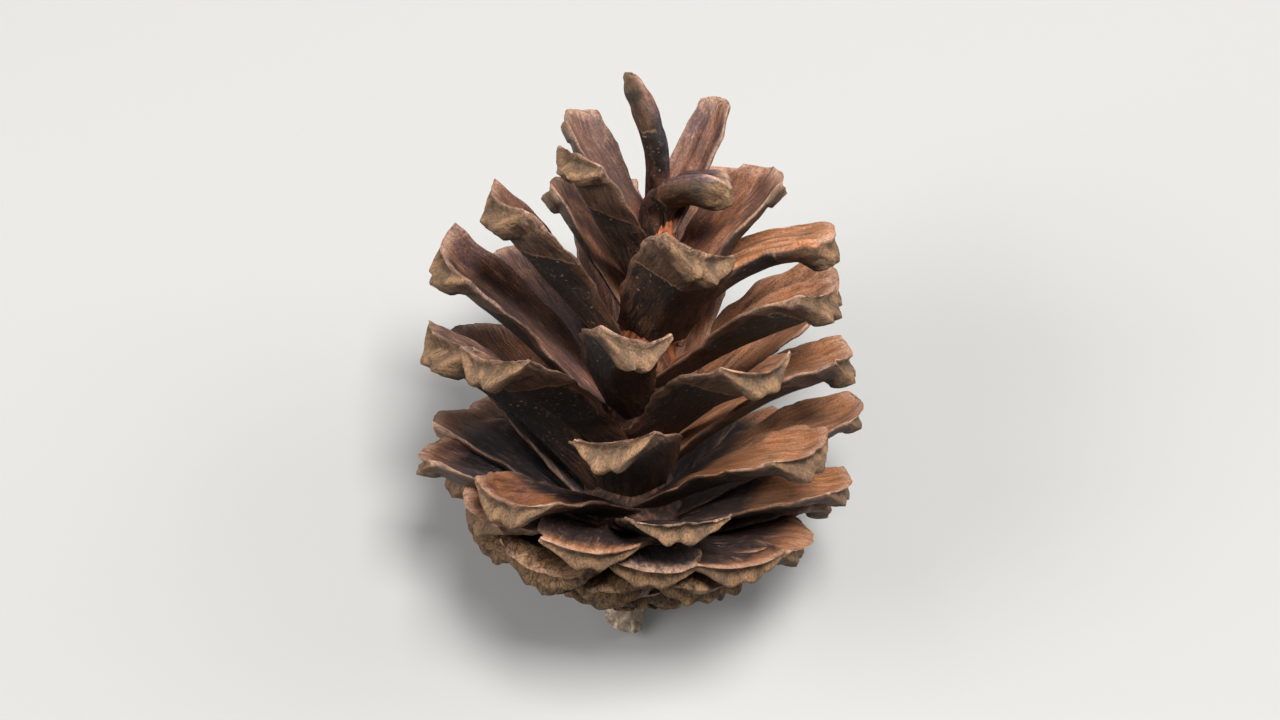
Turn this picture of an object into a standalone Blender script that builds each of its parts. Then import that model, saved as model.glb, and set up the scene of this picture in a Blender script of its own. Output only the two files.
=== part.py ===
"""An open, dry conifer cone that lies back on the edge of its stalk and two scale tips.

The cone grew as one piece, so it is one object: a rachis with its stalk, and the scales that
stand out of it in a spiral. It is modelled upright in millimetres, stalk down, and the last
step leans it back, drops it onto the surface and scales it to metres.
"""

import math

import bmesh
import bpy
from mathutils import Matrix, Vector

# Driving dimensions, in millimetres and degrees
MM = 0.001
SCALE_COUNT = 86
GOLDEN_ANGLE = 137.508
FIRST_TURN = -8.0

# Growth from the tip down to the stalk: scale number, height and radius of the scale's end,
# height and radius of its root, greatest half width, height of its thick end, half of the turn
# from root slope to end slope, slant of the end face, and curl of the margins as a share of
# the half width
GROWTH = (
    (0, 50.5, 1.5, 38.0, 0.3, 1.3, 2.0, -6.0, 0.0, 0.0),
    (1, 47.5, 6.0, 37.0, 0.5, 1.9, 2.0, 2.0, 0.0, 0.2),
    (7, 40.5, 12.0, 29.0, 1.2, 3.3, 2.7, 4.0, 0.0, 0.36),
    (13, 33.5, 17.5, 20.0, 1.8, 4.0, 2.7, 7.0, 0.0, 0.34),
    (21, 25.2, 20.0, 12.5, 2.2, 4.6, 2.9, 9.0, 5.0, 0.2),
    (31, 16.4, 20.0, 8.0, 2.8, 4.6, 2.1, 9.0, 22.0, 0.14),
    (41, 12.6, 18.0, 7.2, 4.0, 4.4, 3.0, 10.0, 38.0, 0.07),
    (53, 9.7, 14.9, 6.8, 5.5, 4.3, 4.2, 10.0, 46.0, 0.05),
    (67, 6.0, 9.9, 5.0, 4.5, 3.6, 3.9, 14.0, 55.0, 0.05),
    (85, 2.2, 3.8, 2.2, 1.5, 2.4, 2.6, 20.0, 60.0, 0.05),
)

# Rachis and stalk, from the cut end of the stalk up to the tip: height and radius
CORE = (
    (-2.9, 1.6), (-1.9, 1.65), (-0.4, 1.9), (1.1, 2.8), (3.2, 5.6), (6.2, 9.0), (8.2, 8.2),
    (9.8, 5.0), (12.5, 3.5), (20.0, 2.9), (28.0, 2.4), (35.0, 1.7), (39.0, 1.0),
)
CORE_SIDES = 12

# The stalk bends aside below the first height, and fully at the second
STALK_BEND = 0.5
BEND_FROM = 1.0
BEND_FULL = -2.7

# Blade of a scale: thickness in the middle and at the margin, what the margin gains at the end,
# half width at the root and its limit as a share of the greatest, share of the thickness above
# the midline, and how much narrower the end is
BLADE_THICKNESS = 1.6
MARGIN_THICKNESS = 0.65
END_MARGIN = 0.25
ROOT_HALF_WIDTH = 3.0
ROOT_SHARE = 0.8
ABOVE_MIDLINE = 0.3
END_NARROWING = 0.12

# Corners of the end are set back by this share of the half width, and the margins of a stout
# scale thicken by this share of what they lack
ROUNDING = 0.4
STOUT_MARGIN = 0.6

# Where along a scale, from root to end, it has its full width, its margins curl, its corners
# round off, its end swells and its end narrows
WIDE_AT = 0.5
CURL_FROM = 0.1
CURL_FULL = 0.7
ROUND_FROM = 0.6
SWELL_FROM = 0.7
NARROW_FROM = 0.8

# Stations of the sections along a scale, fewer on the closed ones near the stalk, and the places
# of a section's points from margin to margin
STATIONS = (0.0, 0.3, 0.6, 0.84, 1.0)
BASAL_STATIONS = (0.0, 0.45, 0.84, 1.0)
FIRST_BASAL = 46
TOP_ROW = (-1.0, -0.45, 0.45, 1.0)
UNDER_ROW = (1.0, 0.45, -0.45, -1.0)

# How some scales differ from the rule: turn, bend and roll in degrees; reach, lift, width, thick
# and root in millimetres, and skew, how much longer the one margin is; pull, the share of the
# length that a bend takes; stout, how far a margin is filled out; blunt, how square to its blade
# the end is cut; curl, times the usual curl
HABIT = {
    0: dict(turn=-80, reach=1.8, lift=0.4, bend=15, pull=0.45, width=-0.3, thick=0.4, stout=0.8,
            blunt=1.0),
    1: dict(turn=12, width=-0.2, roll=8),
    2: dict(turn=-20, reach=2.6, lift=-1, width=1.0, roll=6, skew=-0.9),
    3: dict(turn=15, reach=-1.4, lift=-2.4, bend=50, pull=0.6, root=-2, width=-0.9, thick=0.8,
            stout=0.8, blunt=0.6),
    4: dict(reach=-4.5, lift=-8, width=-1.0),
    5: dict(turn=-2, reach=1.4, lift=3.0, width=0.1, curl=0.4),
    6: dict(turn=12, reach=-0.8, width=0.6),
    7: dict(lift=-3, reach=-0.2, roll=8),
    8: dict(turn=8, reach=-0.5, width=0.4, roll=-20, skew=0.4),
    10: dict(turn=2, lift=2.6, reach=0.2, width=-0.1, thick=0.4, roll=4, curl=0.9, skew=-0.5),
    11: dict(reach=1, lift=-0.8),
    13: dict(turn=17, width=-0.8, roll=-8, skew=1.2),
    14: dict(turn=-20, reach=-2.2, lift=4.3, bend=11, root=9, width=-2.1, thick=0.8, stout=0.5,
             curl=0.3),
    15: dict(turn=8, reach=1.0, lift=-0.4, bend=-6, width=-0.9, thick=0.3, roll=2, curl=1.0,
             skew=-1.1),
    16: dict(turn=1, lift=0.7, thick=-0.4, roll=-2),
    18: dict(turn=8, reach=-0.4, lift=0.1, width=-0.3, roll=12),
    19: dict(reach=-1.2, lift=-0.3, bend=5, width=-0.5),
    20: dict(turn=4, lift=1, roll=10),
    21: dict(turn=-6, width=-0.4, roll=13, skew=-0.5),
    22: dict(turn=-14, lift=5.1, root=2, bend=-10, width=-0.5),
    23: dict(turn=6, reach=-1.4, lift=2.0, thick=0.8, roll=18, skew=-0.8),
    24: dict(reach=-0.8, lift=-0.4, roll=5),
    26: dict(lift=-3.6, bend=-2, roll=6),
    27: dict(turn=-4, reach=0.5, lift=-0.3, root=-1, bend=-9, width=-0.3),
    28: dict(turn=-8, lift=1.2),
    29: dict(turn=-6, lift=0.2, width=-0.2, bend=-10, curl=0.7),
    31: dict(turn=-10, reach=-0.4, lift=-1.4, roll=10),
    32: dict(turn=3, lift=0.3),
    34: dict(turn=4, lift=-0.5, roll=-2),
    35: dict(lift=-1.0),
    36: dict(turn=-6, reach=-0.6, lift=0.1, roll=12),
    37: dict(turn=-6, lift=-1.0, bend=-14, roll=-5),
    39: dict(turn=-6, reach=-0.8, lift=0.2),
    40: dict(turn=3, lift=-0.6),
    41: dict(turn=3, reach=1),
    42: dict(lift=0.8),
    43: dict(reach=2.2, lift=-2.2),
    44: dict(lift=1.4, reach=-0.1, roll=8),
    45: dict(turn=7, bend=-8),
    46: dict(reach=-2.2),
    47: dict(reach=0.6),
    51: dict(reach=-1.5),
    52: dict(turn=2, lift=-0.3),
    54: dict(reach=2.2, lift=-1.9),
    59: dict(reach=-1.5),
    60: dict(reach=1),
    63: dict(lift=1),
}

USUAL_PULL = 0.36

# Pose: how far the cone leans back, and how deep its three resting points are worn flat
LEAN = 38.7
WEAR = 0.42
FLOOR_SIZE = 80.0

WOOD_COLOUR = (0.17, 0.085, 0.045, 1.0)
WOOD_ROUGHNESS = 0.75


def smooth(value, low, high):
    """Eases from 0 at low to 1 at high."""
    part = min(max((value - low) / (high - low), 0.0), 1.0)
    return part * part * (3.0 - 2.0 * part)


def growth(number):
    """Row of GROWTH for a scale between two listed ones."""
    for low, high in zip(GROWTH, GROWTH[1:]):
        if number <= high[0]:
            part = (number - low[0]) / (high[0] - low[0])
            return [a + (b - a) * part for a, b in zip(low, high)][1:]
    return list(GROWTH[-1][1:])


class Scale:
    """One scale: its midline from root to end, and the sections along it."""

    def __init__(self, number):
        habit = HABIT.get(number, {})
        (end_height, end_radius, root_height, root_radius, half_width, end_thickness,
         bend, slant, curl) = growth(number)
        self.azimuth = math.radians(FIRST_TURN + GOLDEN_ANGLE * number)
        self.turn = math.radians(habit.get("turn", 0.0))
        self.roll = math.radians(habit.get("roll", 0.0))
        self.half_width = half_width + habit.get("width", 0.0)
        self.thickness = BLADE_THICKNESS + habit.get("thick", 0.0)
        self.stout = habit.get("stout", 0.0)
        self.blunt = habit.get("blunt", 0.0)
        self.skew = habit.get("skew", 0.0)
        self.root_half_width = min(ROOT_HALF_WIDTH, ROOT_SHARE * self.half_width)
        self.end_thickness = end_thickness + habit.get("thick", 0.0)
        self.curl = curl * habit.get("curl", 1.0)
        self.slant = math.radians(slant)
        root = Vector((root_radius, root_height + habit.get("root", 0.0)))
        end = Vector((end_radius + habit.get("reach", 0.0), end_height + habit.get("lift", 0.0)))
        chord = end - root
        slope = math.atan2(chord.y, chord.x)
        bend = math.radians(bend + habit.get("bend", 0.0))
        pull = chord.length * habit.get("pull", USUAL_PULL)
        leave = Vector((math.cos(slope + bend), math.sin(slope + bend))) * pull
        arrive = Vector((math.cos(slope - bend), math.sin(slope - bend))) * pull
        self.controls = (root, root + leave, end - arrive, end)

    def middle(self, station):
        """Point on the midline."""
        a, b, c, d = self.controls
        rest = 1.0 - station
        flat = (a * rest ** 3 + b * (3 * rest * rest * station)
                + c * (3 * rest * station * station) + d * station ** 3)
        azimuth = self.azimuth + self.turn * station * abs(station)
        return Vector((flat.x * math.sin(azimuth), -flat.x * math.cos(azimuth), flat.y))

    def frame(self, station):
        """Unit vectors along, across and up from the blade."""
        along = (self.middle(station + 0.01) - self.middle(station - 0.01)).normalized()
        azimuth = self.azimuth + self.turn
        across = Vector((math.cos(azimuth), math.sin(azimuth), 0.0))
        across = (across - along * across.dot(along)).normalized()
        up = along.cross(across)
        rolled = across * math.cos(self.roll) + up * math.sin(self.roll)
        return along, rolled, along.cross(rolled)

    def section(self, station):
        """Closed ring of points: the upper side from margin to margin, then the under side."""
        along, across, up = self.frame(station)
        widening = smooth(station, 0.0, WIDE_AT)
        half_width = self.root_half_width + (self.half_width - self.root_half_width) * widening
        half_width *= 1.0 - END_NARROWING * smooth(station, NARROW_FROM, 1.0)
        swell = smooth(station, SWELL_FROM, 1.0)
        thickness = self.thickness + (self.end_thickness - self.thickness) * swell
        margin = MARGIN_THICKNESS + END_MARGIN * swell
        margin += (thickness - margin) * STOUT_MARGIN * self.stout
        curl = self.curl * half_width * smooth(station, CURL_FROM, CURL_FULL)
        rounding = smooth(station, ROUND_FROM, 1.0)
        setback = ROUNDING * half_width * rounding
        inward = Vector((-along.x, -along.y, 0.0)).normalized()
        plumb = (Vector((0.0, 0.0, -1.0)) * math.cos(self.slant)
                 + inward * math.sin(self.slant))
        plumb = (plumb - along * (self.blunt * plumb.dot(along))).normalized()
        down = (up * (swell - 1.0) + plumb * swell).normalized()
        middle = self.middle(station) - down * (ABOVE_MIDLINE * thickness)
        points = []
        for row, lower in ((TOP_ROW, False), (UNDER_ROW, True)):
            for side in row:
                point = middle + across * (side * half_width)
                point += up * (curl * side * side) - along * (setback * side * side)
                point += along * (self.skew * side * rounding)
                if lower:
                    depth = margin + (thickness - margin) * (1.0 - side * side)
                    point += down * depth
                points.append(point)
        return points


def loft(name, rings, collection):
    """Closed object through rings of equal length, with its first and last ring capped."""
    shape = bmesh.new()
    rows = [[shape.verts.new(point) for point in ring] for ring in rings]
    count = len(rows[0])
    for low, high in zip(rows, rows[1:]):
        for index in range(count):
            after = (index + 1) % count
            quad = (low[index], low[after], high[after], high[index])
            shape.faces.new(quad)
    shape.faces.new(list(reversed(rows[0])))
    shape.faces.new(rows[-1])
    bmesh.ops.triangulate(shape, faces=shape.faces[:])
    bmesh.ops.recalc_face_normals(shape, faces=shape.faces[:])
    mesh = bpy.data.meshes.new(name)
    shape.to_mesh(mesh)
    shape.free()
    obj = bpy.data.objects.new(name, mesh)
    collection.objects.link(obj)
    return obj


def core_rings():
    """Rings of the rachis and stalk, the stalk bent a little aside."""
    rings = []
    for height, radius in CORE:
        aside = STALK_BEND * smooth(-height, -BEND_FROM, -BEND_FULL)
        ring = []
        for index in range(CORE_SIDES):
            angle = 2.0 * math.pi * index / CORE_SIDES
            ring.append(Vector((radius * math.cos(angle) + aside, radius * math.sin(angle), height)))
        rings.append(ring)
    return rings


def cone_wood():
    """Matt brown wood of the whole cone."""
    material = bpy.data.materials.new("cone_wood")
    material.use_nodes = True
    shader = material.node_tree.nodes["Principled BSDF"]
    shader.inputs["Base Color"].default_value = WOOD_COLOUR
    shader.inputs["Roughness"].default_value = WOOD_ROUGHNESS
    shader.inputs["Metallic"].default_value = 0.0
    return material


def join_scales(cone, scales):
    """Fuses the scales into the rachis, then removes their objects."""
    union = cone.modifiers.new("scales", "BOOLEAN")
    union.operation = "UNION"
    union.operand_type = "COLLECTION"
    union.collection = scales
    union.solver = "EXACT"
    bpy.context.view_layer.update()
    fused = bpy.data.meshes.new_from_object(cone.evaluated_get(bpy.context.evaluated_depsgraph_get()))
    cone.modifiers.clear()
    cone.data = fused
    for scale in list(scales.objects):
        bpy.data.objects.remove(scale)


def keep_largest(mesh):
    """Drops sealed hollows and loose scraps: only the largest shell of faces stays."""
    shape = bmesh.new()
    shape.from_mesh(mesh)
    bmesh.ops.triangulate(shape, faces=shape.faces[:])
    shape.faces.ensure_lookup_table()
    left = set(shape.faces)
    shells = []
    while left:
        front = [left.pop()]
        shell = list(front)
        while front:
            face = front.pop()
            for edge in face.edges:
                for other in edge.link_faces:
                    if other in left:
                        left.remove(other)
                        front.append(other)
                        shell.append(other)
        shells.append(shell)
    shells.sort(key=len)
    for shell in shells[:-1]:
        bmesh.ops.delete(shape, geom=shell, context="FACES")
    shape.to_mesh(mesh)
    shape.free()


def lay_down(mesh):
    """Leans the upright cone back and centres it over the surface, its lowest points just below."""
    mesh.transform(Matrix.Rotation(-math.radians(LEAN), 4, "X"))
    low = [min(vertex.co[axis] for vertex in mesh.vertices) for axis in range(3)]
    high = [max(vertex.co[axis] for vertex in mesh.vertices) for axis in range(3)]
    drop = Vector((-(low[0] + high[0]) / 2, -(low[1] + high[1]) / 2, -low[2] - WEAR))
    mesh.transform(Matrix.Translation(drop))
    mesh.transform(Matrix.Scale(MM, 4))


def wear_flat(cone, cutters):
    """Cuts the resting points level with the surface."""
    box = bmesh.new()
    bmesh.ops.create_cube(box, size=FLOOR_SIZE * MM)
    mesh = bpy.data.meshes.new("floor_box")
    box.to_mesh(mesh)
    box.free()
    floor = bpy.data.objects.new("floor_box", mesh)
    floor.location = (0.0, 0.0, -FLOOR_SIZE * MM / 2)
    floor.hide_render = True
    floor.display_type = "WIRE"
    cutters.objects.link(floor)
    cut = cone.modifiers.new("worn_flat", "BOOLEAN")
    cut.operation = "DIFFERENCE"
    cut.object = floor
    cut.solver = "EXACT"


def build():
    for obj in list(bpy.data.objects):
        bpy.data.objects.remove(obj)
    scene = bpy.context.scene
    parts = bpy.data.collections.new("conifer_cone")
    scales = bpy.data.collections.new("scales")
    cutters = bpy.data.collections.new("cutters")
    for collection in (parts, scales, cutters):
        scene.collection.children.link(collection)
    cone = loft("cone", core_rings(), parts)
    for number in range(SCALE_COUNT):
        scale = Scale(number)
        stations = STATIONS if number < FIRST_BASAL else BASAL_STATIONS
        loft("scale_%02d" % number, [scale.section(at) for at in stations], scales)
    join_scales(cone, scales)
    bpy.data.collections.remove(scales)
    keep_largest(cone.data)
    lay_down(cone.data)
    cone.data.materials.append(cone_wood())
    wear_flat(cone, cutters)


build()
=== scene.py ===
"""An open, dry conifer cone that lies back on its stalk and two of its scale tips.

The CAD cone is the frame. Each of its scales is grown again here by the same rule with a finer
surface: a hollowed end shield with its lip, curled margins, a keeled under side and the prints
of the two seeds. Lengths in the growth tables are millimetres, upright, with the stalk down.
"""

import math
import random

import bmesh
import bpy
import numpy as np
from bpy.props import FloatProperty, FloatVectorProperty, IntProperty, PointerProperty
from mathutils import Matrix, Vector, noise


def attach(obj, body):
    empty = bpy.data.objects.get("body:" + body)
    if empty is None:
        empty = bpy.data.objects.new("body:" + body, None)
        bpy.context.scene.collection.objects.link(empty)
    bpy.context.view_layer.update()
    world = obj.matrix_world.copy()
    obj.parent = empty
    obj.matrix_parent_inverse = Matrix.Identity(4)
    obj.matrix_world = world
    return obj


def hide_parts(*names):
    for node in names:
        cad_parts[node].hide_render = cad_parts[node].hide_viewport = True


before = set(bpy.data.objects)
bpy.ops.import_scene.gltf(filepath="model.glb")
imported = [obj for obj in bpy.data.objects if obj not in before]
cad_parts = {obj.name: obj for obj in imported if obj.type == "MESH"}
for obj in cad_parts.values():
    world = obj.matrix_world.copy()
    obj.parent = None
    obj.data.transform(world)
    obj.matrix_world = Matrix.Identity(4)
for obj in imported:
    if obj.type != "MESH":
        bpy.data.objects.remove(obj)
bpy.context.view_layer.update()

bl_info = {
    "name": "Conifer Cone",
    "version": (1, 0, 0),
    "blender": (4, 5, 0),
    "location": "3D View > Sidebar > Cone",
    "description": "Grows an open conifer cone over its packed CAD model",
    "category": "Add Mesh",
}

MM = 0.001

# Growth from the tip down to the stalk: scale number, height and radius of the scale's end,
# height and radius of its root, greatest half width, height of its thick end, half of the turn
# from root slope to end slope, slant of the end face, and curl of the margins as a share of
# the half width
GROWTH = (
    (0, 50.5, 1.5, 38.0, 0.3, 1.3, 2.0, -6.0, 0.0, 0.0),
    (1, 47.5, 6.0, 37.0, 0.5, 1.9, 2.0, 2.0, 0.0, 0.2),
    (7, 40.5, 12.0, 29.0, 1.2, 3.3, 2.7, 4.0, 0.0, 0.36),
    (13, 33.5, 17.5, 20.0, 1.8, 4.0, 2.7, 7.0, 0.0, 0.34),
    (21, 25.2, 20.0, 12.5, 2.2, 4.6, 2.9, 9.0, 5.0, 0.2),
    (31, 16.4, 20.0, 8.0, 2.8, 4.6, 2.1, 9.0, 22.0, 0.14),
    (41, 12.6, 18.0, 7.2, 4.0, 4.4, 3.0, 10.0, 38.0, 0.07),
    (53, 9.7, 14.9, 6.8, 5.5, 4.3, 4.2, 10.0, 46.0, 0.05),
    (67, 6.0, 9.9, 5.0, 4.5, 3.6, 3.9, 14.0, 55.0, 0.05),
    (85, 2.2, 3.8, 2.2, 1.5, 2.4, 2.6, 20.0, 60.0, 0.05),
)

# Rachis and stalk, from the cut end of the stalk up to the tip: height and radius
CORE = (
    (-2.9, 1.6), (-1.9, 1.65), (-0.4, 1.9), (1.1, 2.8), (3.2, 5.6), (6.2, 9.0), (8.2, 8.2),
    (9.8, 5.0), (12.5, 3.5), (20.0, 2.9), (28.0, 2.4), (35.0, 1.7), (39.0, 1.0),
)

# How far aside the end of the stalk stands
STALK_BEND = 0.5

# Heights, in millimetres along the cone, between which the rachis turns from dark, painted shade in
# the bowl, to reddish, and how often the fibres and the bark repeat in a metre, across twice and
# along
FIBRE_FROM = 16.0
FIBRE_FULL = 24.0
FIBRE_REPEATS = (1800.0, 1800.0, 250.0)
BARK_REPEATS = (1500.0, 1500.0, 420.0)

# How some scales differ from the rule: turn, bend and roll in degrees; reach, lift, width, thick
# and root in millimetres, and skew, how much longer the one margin is; pull, the share of the
# length that a bend takes; stout, how far a margin is filled out; blunt, how square to its blade
# the end is cut; curl, times the usual curl
HABIT = {
    0: dict(turn=-80, reach=1.8, lift=0.4, bend=15, pull=0.45, width=-0.3, thick=0.4, stout=0.8,
            blunt=1.0),
    1: dict(turn=12, width=-0.2, roll=8),
    2: dict(turn=-20, reach=2.6, lift=-1, width=1.0, roll=6, skew=-0.9),
    3: dict(turn=15, reach=-1.4, lift=-2.4, bend=50, pull=0.6, root=-2, width=-0.9, thick=0.8,
            stout=0.8, blunt=0.6),
    4: dict(reach=-4.5, lift=-8, width=-1.0),
    5: dict(turn=-2, reach=1.4, lift=3.0, width=0.1, curl=0.4),
    6: dict(turn=12, reach=-0.8, width=0.6),
    7: dict(lift=-3, reach=-0.2, roll=8),
    8: dict(turn=8, reach=-0.5, width=0.4, roll=-20, skew=0.4),
    10: dict(turn=2, lift=2.6, reach=0.2, width=-0.1, thick=0.4, roll=4, curl=0.9, skew=-0.5),
    11: dict(reach=1, lift=-0.8),
    13: dict(turn=17, width=-0.8, roll=-8, skew=1.2),
    14: dict(turn=-20, reach=-2.2, lift=4.3, bend=11, root=9, width=-2.1, thick=0.8, stout=0.5,
             curl=0.3),
    15: dict(turn=8, reach=1.0, lift=-0.4, bend=-6, width=-0.9, thick=0.3, roll=2, curl=1.0,
             skew=-1.1),
    16: dict(turn=1, lift=0.7, thick=-0.4, roll=-2),
    18: dict(turn=8, reach=-0.4, lift=0.1, width=-0.3, roll=12),
    19: dict(reach=-1.2, lift=-0.3, bend=5, width=-0.5),
    20: dict(turn=4, lift=1, roll=10),
    21: dict(turn=-6, width=-0.4, roll=13, skew=-0.5),
    22: dict(turn=-14, lift=5.1, root=2, bend=-10, width=-0.5),
    23: dict(turn=6, reach=-1.4, lift=2.0, thick=0.8, roll=18, skew=-0.8),
    24: dict(reach=-0.8, lift=-0.4, roll=5),
    26: dict(lift=-3.6, bend=-2, roll=6),
    27: dict(turn=-4, reach=0.5, lift=-0.3, root=-1, bend=-9, width=-0.3),
    28: dict(turn=-8, lift=1.2),
    29: dict(turn=-6, lift=0.2, width=-0.2, bend=-10, curl=0.7),
    31: dict(turn=-10, reach=-0.4, lift=-1.4, roll=10),
    32: dict(turn=3, lift=0.3),
    34: dict(turn=4, lift=-0.5, roll=-2),
    35: dict(lift=-1.0),
    36: dict(turn=-6, reach=-0.6, lift=0.1, roll=12),
    37: dict(turn=-6, lift=-1.0, bend=-14, roll=-5),
    39: dict(turn=-6, reach=-0.8, lift=0.2),
    40: dict(turn=3, lift=-0.6),
    41: dict(turn=3, reach=1),
    42: dict(lift=0.8),
    43: dict(reach=2.2, lift=-2.2),
    44: dict(lift=1.4, reach=-0.1, roll=8),
    45: dict(turn=7, bend=-8),
    46: dict(reach=-2.2),
    47: dict(reach=0.6),
    51: dict(reach=-1.5),
    52: dict(turn=2, lift=-0.3),
    54: dict(reach=2.2, lift=-1.9),
    59: dict(reach=-1.5),
    60: dict(reach=1),
    63: dict(lift=1),
}

# Groups of neighbouring scales along the spiral: name, first and last scale. From FIRST_CLOSED on,
# the scales have fewer rows.
TIERS = (
    ("tip_scales", 0, 6),
    ("crown_scales", 7, 12),
    ("open_scales_high", 13, 18),
    ("open_scales_upper", 19, 24),
    ("open_scales_middle", 25, 30),
    ("open_scales_lower", 31, 37),
    ("bowl_scales", 38, 45),
    ("closed_scales_outer", 46, 56),
    ("closed_scales_inner", 57, 70),
    ("basal_scales", 71, 85),
)
FIRST_CLOSED = 46

# How far in from its end, in millimetres, a scale's upper side darkens with painted shade towards
# the floor of the bowl, below 0 if it is painted dark all over: single scales, and all others by
# scale number
DUSK = {
    0: 2.5, 24: 14.0, 26: 7.0, 27: 11.0, 29: -1.5, 31: 2.5, 32: 7.5, 34: 1.4, 36: 2.5, 37: 1.2,
    42: -1.5, 45: 2.0,
}
USUAL_DUSK = ((0, 40.0), (20, 24.0), (26, 8.0), (34, 3.0), (45, 1.0), (86, 0.0))

# How far in from its end, in millimetres, the dark patch under a scale starts: single scales,
# and all others
PATCH = {
    2: 4.5, 5: 5.2, 8: 4.4, 10: 4.8, 11: 2.6, 13: 1.5, 15: 4.2, 16: 3.6, 18: 4.6, 21: 1.6, 29: 1.8,
}
USUAL_PATCH = 3.4

# Colour of single scales' upper side, from dull at -0.4 to glowing at 1.1. The others take it
# from the side of the cone that they stand on. It is partly the wood's tone and partly painted light
# and shade: the lit side of the cone is painted lighter and more orange, the shaded side darker.
WARM_AND_LIT = {
    0: -0.4, 1: 0.15, 2: 0.0, 3: -0.1, 6: 0.6, 7: 0.5, 12: 0.4, 14: 1.1, 15: 0.2, 19: 1.0, 20: 0.0,
    24: 1.05, 26: 0.55, 27: 0.95, 28: -0.35, 31: -0.35, 32: 1.0, 34: 1.0, 37: 0.95,
}

# What each scale keeps for its material: side and height on the scale, and where on the cone. The
# warmth holds painted light and shade, and the dusk holds the painted shade of the bowl.
KEPT_PLACES = (
    ("place", ("aside", "from_end", "through")),
    ("tint", ("patch_from", "warm", "basal")),
    ("where", ("radius", "height", "dusk")),
)

# Noises of the wood: name, how often they repeat in a millimetre across, along and through the
# scale, detail, and distortion
WOOD_PATTERNS = (
    ("fibres", (2.6, 0.34, 1.0), 6.0, 0.5),
    ("streaks", (0.5, 0.13, 0.5), 5.0, 1.1),
    ("stains", (0.45, 0.22, 0.4), 4.0, 0.8),
    ("blotch", (0.8, 0.6, 0.8), 3.0, 0.6),
    ("flecks", (3.2, 2.6, 3.0), 2.0, 0.0),
    ("veins", (5.0, 0.5, 2.0), 3.0, 0.5),
    ("crust", (1.6, 1.3, 1.6), 6.0, 0.6),
    ("grit", (7.0, 4.5, 6.0), 4.0, 0.3),
)

# Node, settings, input sockets and output socket of these kinds of step. Any other kind is the
# operation of a Math node.
STEP_KINDS = {
    "EASE": ("MapRange", {"interpolation_type": "SMOOTHSTEP"}, (0, 1, 2, 3, 4), 0),
    "MIX": ("Mix", {"data_type": "RGBA"}, (0, 6, 7), 2),
    "SHADE": ("Mix", {"data_type": "RGBA", "blend_type": "MULTIPLY"}, (0, 6, 7), 2),
    "RAMP": ("ValToRGB", {}, (0,), 0),
}

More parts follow.
